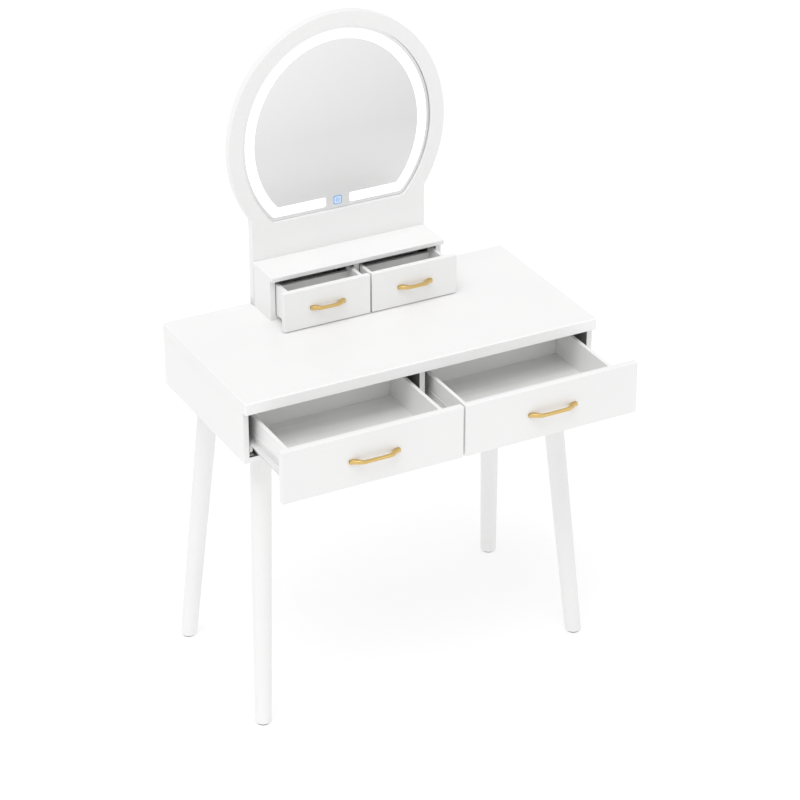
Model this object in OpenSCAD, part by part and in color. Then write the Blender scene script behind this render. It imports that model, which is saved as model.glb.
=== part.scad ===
// Vanity table with four drawers, a small drawer hutch and a lit keyhole mirror.
// Millimetres, +Z up, +X to the right, the drawers open towards -Y.
// The origin is on the floor, under the centre of the box that holds the whole
// table with its drawers pulled out as drawn.

/* [Table] */
// Width of the table top
table_w = 800; // [660:1:1000]
// Depth of the table top, front edge to back edge
table_d = 400; // [385:1:520]
// Height of the table top above the floor
table_h = 762; // [620:1:920]
// Thickness of the table top
top_t = 25; // [18:1:30]
// Thickness of the sides, divider, bottom and back of the carcass
panel_t = 12; // [10:1:18]
// How far the table top stands over each side panel
top_overhang = 1; // [0.5:0.5:4]
// Height of the carcass below the table top
carcass_h = 116; // [100:1:160]
// Thickness of the large drawer fronts, which also sets the carcass back under the top
front_t = 15; // [12:1:18]

/* [Legs] */
// Radius of a leg at its top
leg_top_r = 22; // [16:0.5:26]
// Radius of a leg at its foot
leg_foot_r = 17.5; // [12:0.5:22]
// Distance from the top's side edge to a leg's axis under the carcass
leg_top_in_x = 66; // [55:1:90]
// Distance from the top's front or back edge to a leg's axis under the carcass
leg_top_in_y = 77; // [60:1:100]
// Distance from the top's side edge to a foot's centre
foot_in_x = 25; // [15:1:60]
// Distance from the top's front or back edge to a foot's centre
foot_in_y = 11; // [5:1:60]
// Radius of a foot glide
glide_r = 14; // [10:0.5:16]
// Height of a foot glide
glide_h = 3; // [2:0.5:6]
// Side of the square steel plate that carries a leg
plate_w = 64; // [56:1:80]
// Thickness of that plate
plate_t = 2; // [1.5:0.5:4]
// Radius of the bolt that holds a leg
leg_bolt_r = 4; // [3:0.5:5]
// Depth of that bolt in the leg
leg_bolt_depth = 40; // [25:1:60]

/* [Large drawers] */
// How far the large drawers stand open as drawn
large_pull = 162; // [0:1:190]
// Gap round the drawer fronts
front_gap = 4; // [2:0.5:6]
// Gap above a drawer front, and below a small one
front_gap_z = 1.5; // [1:0.5:4]
// Space for a slide between a drawer side and the carcass
slide_gap = 17; // [14:0.5:18]
// Thickness of a large drawer's sides and back
box_t = 8; // [8:1:15]
// Length of a large drawer's box behind its front
box_l = 250; // [220:1:300]
// Height of a large drawer's sides
box_h = 71; // [60:1:78]
// Height of a large drawer's sides above the carcass bottom
box_lift = 8; // [6:0.5:12]
// Thickness of a drawer's bottom board
base_t = 5; // [3:0.5:8]
// Height of a drawer's bottom board above the lower edge of its sides
base_lift = 1; // [0:0.5:6]

/* [Slides] */
// Thickness of the folded steel of a slide
rail_t = 1.2; // [1:0.1:1.6]
// Width of the carcass rail's channel
channel_w = 10; // [9:0.5:11]
// Height of the carcass rail above the carcass bottom
channel_lift = 3; // [2:0.5:6]
// Radius of the roller at the back of a drawer rail
rear_roller_r = 10; // [8:0.5:11]
// Radius of the roller at the front of a carcass rail
front_roller_r = 11.5; // [10:0.5:12.5]
// Width of a roller
roller_w = 7; // [5:0.5:8]
// Radius of a roller's pin
roller_pin_r = 2.5; // [2:0.5:4]
// Radial clearance of a roller on its pin
pin_clear = 0.05; // [0.02:0.01:0.1]
// Clearance between a roller and the rail that runs on it
run_clear = 0.3; // [0.3:0.05:0.6]
// Height of a drawer rail on the drawer side
drawer_rail_h = 36; // [30:1:45]

/* [Hutch] */
// Width of the hutch
hutch_w = 400; // [330:1:480]
// Depth of the hutch in front of the mirror board
hutch_d = 90; // [75:1:110]
// Height of the hutch above the table top
hutch_h = 101; // [84:1:125]
// Thickness of the hutch's boards
hutch_t = 12; // [9:1:15]
// Thickness of the hutch's top and bottom boards
hutch_top_t = 10; // [8:1:15]
// How far the small drawers stand open as drawn
small_pull = 55; // [0:1:64]
// Thickness of the small drawer fronts, which also sets the hutch's frame back
small_front_t = 12; // [9:1:15]
// Side clearance of a small drawer in the hutch
small_side_clear = 1.5; // [0.5:0.5:3]
// Clearance under and over a small drawer in the hutch
small_run_clear = 0.5; // [0.3:0.1:1.5]
// Thickness of a small drawer's sides and back
small_box_t = 8; // [6:1:10]
// Length of a small drawer's box behind its front
small_box_l = 75; // [55:1:76]
// Height of a small drawer's sides
small_box_h = 70; // [50:1:72]
// Height of a small drawer's back, which is lower than its sides
small_back_h = 57; // [40:1:70]
// Thickness of a small drawer's bottom board
small_base_t = 4; // [3:0.5:6]

/* [Handles] */
// Distance between the screws of a large handle
large_handle_pitch = 96; // [64:1:160]
// Distance between the screws of a small handle
small_handle_pitch = 64; // [48:1:96]
// How far a large handle stands out of its front
large_handle_out = 17; // [15:1:32]
// How far a small handle stands out of its front
small_handle_out = 14; // [13:1:28]
// Height of a handle's bar
bar_h = 9.5; // [6:0.5:12]
// Thickness of a handle's bar
bar_t = 5; // [4:0.5:8]
// How far a handle's foot runs on beyond its screw
foot_tip = 8; // [6:0.5:10]
// Thickness of a handle's foot at its tip
tip_t = 5; // [2:0.5:6]
// How much the middle of a handle's bar is bowed outwards
bar_bow = 1; // [0:0.5:3]
// Length of a handle's sloping foot for each millimetre that the handle stands out
foot_run = 1.5; // [1.2:0.1:1.8]
// Radius of a handle screw
handle_screw_r = 2; // [1.5:0.5:2.5]
// Depth of a handle screw in its handle
handle_screw_depth = 4; // [3:0.5:5]

/* [Mirror] */
// Thickness of the mirror board
board_t = 17; // [15:1:22]
// Width of the board's neck
neck_w = 402; // [340:1:440]
// Height of the mirror's centre above the table top
mirror_z = 347; // [320:1:420]
// Half of the mirror's width
mirror_rx = 216; // [190:1:230]
// Half of the height of the mirror's oval
mirror_rz = 234; // [200:1:245]
// Distance from the mirror's centre down to its flat lower edge
mirror_flat = 167.5; // [120:0.5:190]
// Radius of the mirror's two lower corners
mirror_corner_r = 12; // [4:1:24]
// Width of the board round the mirror
board_rim = 31.5; // [24:0.5:45]
// Depth of the mirror behind the board's face
mirror_recess = 6; // [3:0.5:7]
// Thickness of the mirror glass
glass_t = 4; // [3:0.5:5]
// Gap between the glass and the board
glass_clear = 0.5; // [0.3:0.1:1.5]
// Distance from the glass edge to the light band
band_margin = 7; // [4:0.5:15]
// Width of the light band
band_w = 22; // [12:0.5:30]
// Depth of the frosted layer of the light band
band_t = 1; // [0.5:0.1:1.5]
// Gap in the light band at the touch switch
band_gap = 54; // [30:1:90]
// Side of the touch switch
touch_w = 19; // [12:1:24]
// Thickness of the rear cover
cover_t = 3; // [2:0.5:4]
// How far the rear cover laps over the board
cover_lap = 10; // [8:1:16]
// Width of the driver housing on the rear cover
driver_w = 80; // [60:1:110]
// Height of the driver housing
driver_h = 60; // [40:1:80]
// How far the driver housing stands out behind
driver_out = 6.5; // [5:0.5:7]

/* [Hidden] */

// Colours
lacquer = [0.95, 0.95, 0.94];
inside = [0.80, 0.80, 0.79];
steel = [0.62, 0.63, 0.65];
rail_white = [0.88, 0.88, 0.88];
nylon = [0.93, 0.93, 0.91];
gold = [0.85, 0.62, 0.25];
dark_rubber = [0.25, 0.25, 0.25];
silvering = [0.76, 0.77, 0.78];
lamp_white = [1, 1, 1];
moulding = [0.90, 0.90, 0.90];
circuit = [0.15, 0.35, 0.25];
switch_blue = [0.45, 0.72, 0.92];

// Smoothness of round surfaces
round_fn = 48;
fine_fn = 24;
// Overlap that makes a cut run clean through a face
eps = 0.5;

// Table levels and planes, from the floor and from the table top's front edge
top_under = table_h - top_t;
carcass_bottom = top_under - carcass_h;
floor_top = carcass_bottom + panel_t;
frame_y = front_t;
side_x = table_w / 2 - top_overhang;
bay_outer = side_x - panel_t;
bay_inner = panel_t / 2;
bay_w = bay_outer - bay_inner;
bay_mid = (bay_outer + bay_inner) / 2;
back_y = table_d - panel_t;

// Large drawers
front_w = table_w / 2 - front_gap / 2;
front_mid = front_gap / 2 + front_w / 2;
front_z0 = carcass_bottom;
front_z1 = top_under - front_gap_z;
front_h = front_z1 - front_z0;
box_w = bay_w - 2 * slide_gap;
box_y = frame_y - large_pull;
box_z = floor_top + box_lift;
base_z = box_z + base_lift;

// Slides. The channel holds the rear roller, and the front roller stands just above it.
rail_l = box_l;
rail_y = frame_y + 2;
channel_z = floor_top + channel_lift;
channel_h = 2 * rail_t + 2 * rear_roller_r + 2 * run_clear;
rear_axis_z = channel_z + rail_t + run_clear + rear_roller_r;
front_axis_z = channel_z + rail_t + run_clear + front_roller_r;
flange_z = front_axis_z + front_roller_r + run_clear;
front_axis_y = rail_y + front_roller_r + 1.5;
rear_axis_y = box_y + box_l - rear_roller_r - 2;
roller_x = rail_t + 0.8;
flange_gap = 3;

// Hutch
hutch_back_y = table_d - board_t;
hutch_y = hutch_back_y - hutch_d;
hutch_frame_y = hutch_y + small_front_t;
hutch_frame_d = hutch_d - small_front_t;
hutch_top_z = table_h + hutch_h;
hutch_overhang = 1;
hutch_side_x = hutch_w / 2 - hutch_overhang;
small_bay_inner = hutch_t / 2;
small_bay_w = hutch_side_x - hutch_t - small_bay_inner;
small_bay_mid = small_bay_inner + small_bay_w / 2;
small_front_w = hutch_w / 2 - front_gap / 2;
small_front_mid = front_gap / 2 + small_front_w / 2;
small_front_z0 = table_h + front_gap_z + 0.5;
small_front_z1 = hutch_top_z - hutch_top_t - front_gap_z;
small_front_h = small_front_z1 - small_front_z0;
small_box_w = small_bay_w - 2 * small_side_clear;
small_box_y = hutch_frame_y - small_pull;
small_box_z = table_h + hutch_top_t + small_run_clear;

// Mirror
mirror_cz = table_h + mirror_z;
glass_y = hutch_back_y + mirror_recess;
glass_back_y = glass_y + glass_t;
cover_y = table_d - cover_t;
led_t = 2;
led_w = 10;
touch_z = mirror_cz - mirror_flat + band_margin + band_w / 2;
driver_z = mirror_cz - mirror_flat + 4;
driver_wall = 2;
socket_r = 4.5;
socket_bore_r = 2.8;
socket_pin_r = 1;
socket_l = 11;
cover_screw_r = 1.5;

// Wood screws
screw_r = 2;
screw_head_r = 3.8;
screw_head_h = 2;
plate_screw_l = 12;
plate_screw_in = 9;
board_screw_l = board_t + 20;
board_screw_z = [table_h + 28, table_h + 74];

// The middle of the whole object, front to back, with the drawers as drawn
foot_out = leg_foot_r - foot_in_y;
reach_front = max(large_pull + large_handle_out, foot_out);
reach_back = table_d + max(driver_out, foot_out);
middle_y = (reach_back - reach_front) / 2;

// Points on an oval outline, in the plane of the mirror
function oval(rx, rz, n = 120) = [for (i = [0 : n - 1]) [rx * cos(i * 360 / n), rz * sin(i * 360 / n)]];

// Moves the table from its own front edge to the object's origin
module placed() {
    translate([0, -middle_y, 0]) children();
}

// A board given by its lowest corner and its size
module board(corner, size) {
    translate(corner) cube(size);
}

// An outline drawn upright, seen from the front, from y to y + t
module upright(y, t) {
    translate([0, y + t, 0]) rotate([90, 0, 0]) linear_extrude(height = t) children();
}

// A countersunk screw along +Z with its head's face at the origin
module wood_screw(length) {
    cylinder(h = screw_head_h, r1 = screw_head_r, r2 = screw_r, $fn = fine_fn);
    cylinder(h = length, r = screw_r, $fn = fine_fn);
}

// ---- Legs ----

// Leans a child that is drawn along -Z from the leg's top onto the leg's axis
module on_leg_axis(sx, sy) {
    top_x = sx * (table_w / 2 - leg_top_in_x);
    top_y = table_d / 2 + sy * (table_d / 2 - leg_top_in_y);
    dx = sx * (leg_top_in_x - foot_in_x);
    dy = sy * (leg_top_in_y - foot_in_y);
    lean = atan2(norm([dx, dy]), carcass_bottom);
    translate([top_x, top_y, carcass_bottom])
        rotate([0, 0, atan2(dy, dx)])
            rotate([0, -lean, 0])
                children();
}

module leg_bolt(sx, sy) {
    on_leg_axis(sx, sy)
        translate([0, 0, -leg_bolt_depth])
            cylinder(h = leg_bolt_depth + panel_t / 2, r = leg_bolt_r, $fn = fine_fn);
}

module plate_screw_set(sx, sy) {
    reach = plate_w / 2 - plate_screw_in;
    x = sx * (table_w / 2 - leg_top_in_x);
    y = table_d / 2 + sy * (table_d / 2 - leg_top_in_y);
    for (i = [-1, 1], j = [-1, 1])
        translate([x + i * reach, y + j * reach, carcass_bottom - plate_t])
            wood_screw(plate_screw_l);
}

module leg(sx, sy) {
    slope = (leg_top_r - leg_foot_r) / carcass_bottom;
    spare = 30;
    color(lacquer) placed() difference() {
        intersection() {
            on_leg_axis(sx, sy)
                translate([0, 0, -carcass_bottom - spare])
                    cylinder(h = carcass_bottom + 2 * spare, r1 = leg_foot_r - slope * spare,
                             r2 = leg_top_r + slope * spare, $fn = round_fn);
            translate([-table_w, -table_d, glide_h])
                cube([2 * table_w, 3 * table_d, carcass_bottom - plate_t - glide_h]);
        }
        leg_bolt(sx, sy);
    }
}

module leg_front_left() { leg(-1, -1); }
module leg_front_right() { leg(1, -1); }
module leg_rear_left() { leg(-1, 1); }
module leg_rear_right() { leg(1, 1); }

module foot_glides() {
    color(dark_rubber) placed()
        for (sx = [-1, 1], sy = [-1, 1])
            translate([sx * (table_w / 2 - foot_in_x), table_d / 2 + sy * (table_d / 2 - foot_in_y), 0])
                cylinder(h = glide_h, r = glide_r, $fn = round_fn);
}

module leg_plates() {
    color(steel) placed() difference() {
        for (sx = [-1, 1], sy = [-1, 1])
            board([sx * (table_w / 2 - leg_top_in_x) - plate_w / 2,
                   table_d / 2 + sy * (table_d / 2 - leg_top_in_y) - plate_w / 2,
                   carcass_bottom - plate_t], [plate_w, plate_w, plate_t]);
        for (sx = [-1, 1], sy = [-1, 1]) {
            leg_bolt(sx, sy);
            plate_screw_set(sx, sy);
        }
    }
}

module leg_bolts() {
    color(steel) placed()
        for (sx = [-1, 1], sy = [-1, 1])
            leg_bolt(sx, sy);
}

// ---- Table carcass ----

module table_top() {
    color(lacquer) placed() board([-table_w / 2, 0, top_under], [table_w, table_d, top_t]);
}

module side_panel(s) {
    color(lacquer) placed()
        board([s > 0 ? bay_outer : -side_x, frame_y, carcass_bottom],
              [panel_t, table_d - frame_y, carcass_h]);
}

module left_side_panel() { side_panel(-1); }
module right_side_panel() { side_panel(1); }

module back_panel() {
    color(lacquer) placed()
        board([-bay_outer, back_y, carcass_bottom], [2 * bay_outer, panel_t, carcass_h]);
}

module centre_divider() {
    color(lacquer) placed()
        board([-panel_t / 2, frame_y, floor_top], [panel_t, back_y - frame_y, carcass_h - panel_t]);
}

module bottom_panel() {
    color(lacquer) placed() difference() {
        board([-bay_outer, frame_y, carcass_bottom], [2 * bay_outer, back_y - frame_y, panel_t]);
        for (sx = [-1, 1], sy = [-1, 1]) {
            leg_bolt(sx, sy);
            plate_screw_set(sx, sy);
        }
    }
}

// The screws from the mirror board's back into the hutch's uprights
module board_screws() {
    upright_x = hutch_side_x - hutch_t / 2;
    for (x = [-upright_x, 0, upright_x], z = board_screw_z)
        translate([x, table_d, z]) rotate([90, 0, 0]) wood_screw(board_screw_l);
}

module wood_screws() {
    color(steel) placed() {
        for (sx = [-1, 1], sy = [-1, 1])
            plate_screw_set(sx, sy);
        board_screws();
    }
}

// ---- Roller slides ----

// Places a child, drawn for the wall on the left with x from the wall, at one wall of a bay
module at_wall(drawer, wall) {
    x = drawer * bay_mid + wall * bay_w / 2;
    translate([x, 0, 0]) mirror([wall > 0 ? 1 : 0, 0, 0]) children();
}

module roller(y, z, radius) {
    translate([roller_x, y, z]) rotate([0, 90, 0]) difference() {
        cylinder(h = roller_w, r = radius, $fn = round_fn);
        translate([0, 0, -eps])
            cylinder(h = roller_w + 2 * eps, r = roller_pin_r + pin_clear, $fn = fine_fn);
    }
}

module roller_pin(x0, x1, y, z) {
    translate([x0, y, z]) rotate([0, 90, 0]) cylinder(h = x1 - x0, r = roller_pin_r, $fn = fine_fn);
}

// Channel on the carcass wall, open towards the drawer, with its top cut back for the front roller
module carcass_rail() {
    cut_back = 2 * front_roller_r + 5;
    board([0, rail_y, channel_z], [rail_t, rail_l, channel_h]);
    board([0, rail_y, channel_z], [channel_w, rail_l, rail_t]);
    board([0, rail_y + cut_back, channel_z + channel_h - rail_t], [channel_w, rail_l - cut_back, rail_t]);
    roller_pin(0, roller_x + roller_w + 0.5, front_axis_y, front_axis_z);
}

// Angle under the drawer side, with a flange that runs on the front roller
module drawer_rail() {
    wall_x = slide_gap - rail_t;
    board([wall_x, box_y, box_z - rail_t], [rail_t, rail_l, drawer_rail_h]);
    board([wall_x, box_y, box_z - rail_t], [rail_t + box_t, rail_l, rail_t]);
    board([flange_gap, box_y, flange_z], [wall_x - flange_gap + rail_t, rail_l, rail_t]);
    roller_pin(roller_x - 0.4, wall_x + rail_t / 2, rear_axis_y, rear_axis_z);
}

module cabinet_rails() {
    color(rail_white) placed()
        for (drawer = [-1, 1], wall = [-1, 1])
            at_wall(drawer, wall) carcass_rail();
}

module front_rollers(drawer) {
    color(nylon) placed()
        for (wall = [-1, 1])
            at_wall(drawer, wall) roller(front_axis_y, front_axis_z, front_roller_r);
}

module rear_rollers(drawer) {
    color(nylon) placed()
        for (wall = [-1, 1])
            at_wall(drawer, wall) roller(rear_axis_y, rear_axis_z, rear_roller_r);
}

module drawer_rails(drawer) {
    color(rail_white) placed()
        for (wall = [-1, 1])
            at_wall(drawer, wall) drawer_rail();
}

module left_front_rollers() { front_rollers(-1); }
module right_front_rollers() { front_rollers(1); }
module left_rear_rollers() { rear_rollers(-1); }
module right_rear_rollers() { rear_rollers(1); }
module left_drawer_rails() { drawer_rails(-1); }
module right_drawer_rails() { drawer_rails(1); }

// ---- Handles ----

// The two screws of a handle, drawn from behind the front's back face at y = t
module handle_screw_pair(pitch, t) {
    head_t = 2.5;
    for (i = [-1, 1])
        translate([i * pitch / 2, 0, 0]) rotate([90, 0, 0]) {
            translate([0, 0, -t]) cylinder(h = t + handle_screw_depth, r = handle_screw_r, $fn = fine_fn);
            translate([0, 0, -t - head_t]) cylinder(h = head_t, r = 2 * handle_screw_r, $fn = fine_fn);
        }
}

// Rises smoothly from 0 to 1 as u goes from 0 to 1
function smooth_step(u) = let (v = min(max(u, 0), 1)) v * v * (3 - 2 * v);

// Distance from the face to a handle's outer or inner line at x, where the line starts at x = reach
// with a height of low, and climbs to high over a length of run
function handle_line(x, reach, low, high, run) =
    low + (high - low - bar_bow * pow(x / reach, 2)) * smooth_step((reach - abs(x)) / run);

// A handle seen from above: two sloping feet and a long middle, standing out towards -Y from y = 0
module handle_outline(pitch, out) {
    steps = 56;
    tip = pitch / 2 + foot_tip;
    heel = pitch / 2 - 2 * handle_screw_r;
    outer = [for (i = [0 : steps]) let (x = tip * (2 * i / steps - 1))
        [x, -handle_line(x, tip, tip_t, out, foot_run * out)]];
    inner = [for (i = [0 : steps]) let (x = heel * (1 - 2 * i / steps))
        [x, -handle_line(x, heel, 0, out - bar_t, out)]];
    polygon(concat([[-tip, 0]], outer, [[tip, 0]], inner));
}

module bow_handle(pitch, out) {
    difference() {
        translate([0, 0, -bar_h / 2]) linear_extrude(height = bar_h) handle_outline(pitch, out);
        handle_screw_pair(pitch, eps);
    }
}

// ---- Drawers ----

// Moves a handle or its screws onto a large drawer's front
module on_large_front(drawer) {
    translate([drawer * front_mid, -large_pull, front_z0 + front_h / 2]) children();
}

module on_small_front(drawer) {
    translate([drawer * small_front_mid, hutch_y - small_pull, small_front_z0 + small_front_h / 2])
        children();
}

module large_front(drawer) {
    color(lacquer) placed() difference() {
        board([drawer * front_mid - front_w / 2, -large_pull, front_z0], [front_w, front_t, front_h]);
        on_large_front(drawer) handle_screw_pair(large_handle_pitch, front_t);
    }
}

module large_side(drawer, wall) {
    color(lacquer) placed()
        board([drawer * bay_mid + (wall > 0 ? box_w / 2 - box_t : -box_w / 2), box_y, box_z],
              [box_t, box_l, box_h]);
}

module large_back(drawer) {
    color(lacquer) placed()
        board([drawer * bay_mid - box_w / 2 + box_t, box_y + box_l - box_t, box_z],
              [box_w - 2 * box_t, box_t, box_h]);
}

module large_base(drawer) {
    color(inside) placed()
        board([drawer * bay_mid - box_w / 2 + box_t, box_y, base_z],
              [box_w - 2 * box_t, box_l - box_t, base_t]);
}

module large_handle(drawer) {
    color(gold) placed() on_large_front(drawer) bow_handle(large_handle_pitch, large_handle_out);
}

module large_screws(drawer) {
    color(steel) placed() on_large_front(drawer) handle_screw_pair(large_handle_pitch, front_t);
}

module left_drawer_front() { large_front(-1); }
module left_drawer_side_l() { large_side(-1, -1); }
module left_drawer_side_r() { large_side(-1, 1); }
module left_drawer_back() { large_back(-1); }
module left_drawer_base() { large_base(-1); }
module left_drawer_handle() { large_handle(-1); }
module left_drawer_screws() { large_screws(-1); }
module right_drawer_front() { large_front(1); }
module right_drawer_side_l() { large_side(1, -1); }
module right_drawer_side_r() { large_side(1, 1); }
module right_drawer_back() { large_back(1); }
module right_drawer_base() { large_base(1); }
module right_drawer_handle() { large_handle(1); }
module right_drawer_screws() { large_screws(1); }

module small_front(drawer) {
    color(lacquer) placed() difference() {
        board([drawer * small_front_mid - small_front_w / 2, hutch_y - small_pull, small_front_z0],
              [small_front_w, small_front_t, small_front_h]);
        on_small_front(drawer) handle_screw_pair(small_handle_pitch, small_front_t);
    }
}

module small_sides(drawer) {
    color(lacquer) placed()
        for (wall = [-1, 1])
            board([drawer * small_bay_mid + (wall > 0 ? small_box_w / 2 - small_box_t : -small_box_w / 2),
                   small_box_y, small_box_z], [small_box_t, small_box_l, small_box_h]);
}

module small_back(drawer) {
    color(lacquer) placed()
        board([drawer * small_bay_mid - small_box_w / 2 + small_box_t,
               small_box_y + small_box_l - small_box_t, small_box_z],
              [small_box_w - 2 * small_box_t, small_box_t, small_back_h]);
}

module small_base(drawer) {
    color(inside) placed()
        board([drawer * small_bay_mid - small_box_w / 2 + small_box_t, small_box_y, small_box_z + base_lift],
              [small_box_w - 2 * small_box_t, small_box_l - small_box_t, small_base_t]);
}

module small_handle(drawer) {
    color(gold) placed() on_small_front(drawer) bow_handle(small_handle_pitch, small_handle_out);
}

module small_screws(drawer) {
    color(steel) placed() on_small_front(drawer) handle_screw_pair(small_handle_pitch, small_front_t);
}

module small_left_front() { small_front(-1); }
module small_left_sides() { small_sides(-1); }
module small_left_back() { small_back(-1); }
module small_left_base() { small_base(-1); }
module small_left_handle() { small_handle(-1); }
module small_left_screws() { small_screws(-1); }
module small_right_front() { small_front(1); }
module small_right_sides() { small_sides(1); }
module small_right_back() { small_back(1); }
module small_right_base() { small_base(1); }
module small_right_handle() { small_handle(1); }
module small_right_screws() { small_screws(1); }

// ---- Hutch ----

module hutch_top() {
    color(lacquer) placed()
        board([-hutch_w / 2, hutch_y, hutch_top_z - hutch_top_t], [hutch_w, hutch_d, hutch_top_t]);
}

module hutch_bottom() {
    color(lacquer) placed()
        board([-hutch_side_x + hutch_t, hutch_frame_y, table_h],
              [2 * (hutch_side_x - hutch_t), hutch_frame_d, hutch_top_t]);
}

module hutch_side(s) {
    color(lacquer) placed() difference() {
        board([s > 0 ? hutch_side_x - hutch_t : -hutch_side_x, hutch_frame_y, table_h],
              [hutch_t, hutch_frame_d, hutch_h - hutch_top_t]);
        board_screws();
    }
}

module hutch_left_side() { hutch_side(-1); }
module hutch_right_side() { hutch_side(1); }

module hutch_divider() {
    color(lacquer) placed() difference() {
        board([-hutch_t / 2, hutch_frame_y, table_h + hutch_top_t],
              [hutch_t, hutch_frame_d, hutch_h - 2 * hutch_top_t]);
        board_screws();
    }
}

// ---- Mirror ----

// The right half of the mirror's outline grown by a margin on every side: a round lower corner
// that leaves the flat edge, then the oval up to its top
function mirror_half(rx, rz, margin, r = mirror_corner_r, bends = 8, n = 48) =
    let (middle_z = r - mirror_flat - margin,
         middle_x = (rx - r) * sqrt(1 - pow(middle_z / (rz - r), 2)),
         steep = atan2(middle_z / pow(rz - r, 2), middle_x / pow(rx - r, 2)),
         start = atan2((middle_z + r * sin(steep)) / rz, (middle_x + r * cos(steep)) / rx))
    concat([for (i = [0 : bends - 1]) let (turn = -90 + (steep + 90) * i / bends)
                [middle_x + r * cos(turn), middle_z + r * sin(turn)]],
           [for (i = [0 : n]) let (turn = start + (90 - start) * i / n)
                [rx * cos(turn), rz * sin(turn)]]);

module mirror_outline(margin) {
    half = mirror_half(mirror_rx + margin, mirror_rz + margin, margin);
    translate([0, mirror_cz])
        polygon(concat(half, [for (i = [len(half) - 2 : -1 : 0]) [-half[i][0], half[i][1]]]));
}

// The light band, broken at the touch switch
module band_outline(margin, width) {
    difference() {
        mirror_outline(-margin);
        mirror_outline(-margin - width);
        translate([-band_gap / 2, mirror_cz - mirror_flat])
            square([band_gap, margin + width + eps]);
    }
}

module mirror_board() {
    color(lacquer) placed() difference() {
        upright(hutch_back_y, board_t) union() {
            translate([0, mirror_cz]) polygon(oval(mirror_rx + board_rim, mirror_rz + board_rim));
            translate([-neck_w / 2, table_h]) square([neck_w, mirror_z - mirror_flat / 2]);
        }
        upright(hutch_back_y - eps, board_t + 2 * eps) mirror_outline(0);
        upright(cover_y, cover_t + eps) mirror_outline(cover_lap);
        board_screws();
        cover_screw_set();
    }
}

module mirror_glass() {
    color(silvering) placed() difference() {
        upright(glass_y, glass_t) mirror_outline(-glass_clear);
        upright(glass_y - eps, band_t + eps) band_outline(band_margin, band_w);
    }
}

module light_band() {
    color(lamp_white) placed() upright(glass_y, band_t) band_outline(band_margin, band_w);
}

module led_strip() {
    color(lamp_white) placed()
        upright(glass_back_y, led_t) band_outline(band_margin + (band_w - led_w) / 2, led_w);
}

module touch_switch() {
    color(switch_blue) placed()
        board([-touch_w / 2, glass_back_y, touch_z - touch_w / 2], [touch_w, led_t, touch_w]);
}

// Screws through the lap of the rear cover into the board
module cover_screw_set() {
    lap_mid = cover_lap / 2;
    for (a = [0 : 45 : 180])
        translate([(mirror_rx + lap_mid) * cos(a), table_d, mirror_cz + (mirror_rz + lap_mid) * sin(a)])
            rotate([90, 0, 0]) cylinder(h = cover_t + 5, r = cover_screw_r, $fn = fine_fn);
    for (x = [-1, 0, 1])
        translate([x * mirror_rx / 2, table_d, mirror_cz - mirror_flat - lap_mid])
            rotate([90, 0, 0]) cylinder(h = cover_t + 5, r = cover_screw_r, $fn = fine_fn);
}

// Housing for the driver, moulded on the cover, open at the bottom for the power socket
module driver_box(shrink) {
    board([-driver_w / 2 + shrink, cover_y, driver_z + shrink],
          [driver_w - 2 * shrink, cover_t + driver_out - shrink, driver_h - 2 * shrink]);
}

module socket_at() {
    translate([0, table_d + driver_out / 2 - cover_t / 2, driver_z]) children();
}

module rear_cover() {
    color(moulding) placed() difference() {
        union() {
            upright(cover_y, cover_t) mirror_outline(cover_lap - glass_clear);
            driver_box(0);
        }
        translate([0, -eps, 0]) driver_box(driver_wall);
        cover_screw_set();
        socket_at() translate([0, 0, -eps])
            cylinder(h = socket_l + 2 * eps, r = socket_r, $fn = fine_fn);
    }
}

module power_socket() {
    color(dark_rubber) placed() socket_at() {
        difference() {
            cylinder(h = socket_l, r = socket_r, $fn = fine_fn);
            translate([0, 0, -eps]) cylinder(h = socket_l - 1, r = socket_bore_r, $fn = fine_fn);
        }
        cylinder(h = socket_l - 0.5, r = socket_pin_r, $fn = fine_fn);
    }
}

module cover_screws() {
    color(steel) placed() cover_screw_set();
}

table_top();
left_side_panel();
right_side_panel();
back_panel();
centre_divider();
bottom_panel();
leg_front_left();
leg_front_right();
leg_rear_left();
leg_rear_right();
foot_glides();
leg_plates();
leg_bolts();
wood_screws();
cabinet_rails();
left_front_rollers();
right_front_rollers();
left_drawer_front();
left_drawer_side_l();
left_drawer_side_r();
left_drawer_back();
left_drawer_base();
left_drawer_handle();
left_drawer_screws();
left_drawer_rails();
left_rear_rollers();
right_drawer_front();
right_drawer_side_l();
right_drawer_side_r();
right_drawer_back();
right_drawer_base();
right_drawer_handle();
right_drawer_screws();
right_drawer_rails();
right_rear_rollers();
hutch_top();
hutch_bottom();
hutch_left_side();
hutch_right_side();
hutch_divider();
small_left_front();
small_left_sides();
small_left_back();
small_left_base();
small_left_handle();
small_left_screws();
small_right_front();
small_right_sides();
small_right_back();
small_right_base();
small_right_handle();
small_right_screws();
mirror_board();
mirror_glass();
light_band();
led_strip();
touch_switch();
rear_cover();
power_socket();
cover_screws();
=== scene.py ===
"""Looks of a vanity table with a lit mirror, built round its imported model.

Each sub-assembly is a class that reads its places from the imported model, builds
its meshes and dresses them. Every length is in metres.
"""

import logging
import math
from collections.abc import Iterable, Sequence
from dataclasses import dataclass, field
from enum import Enum
from functools import cache

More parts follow.
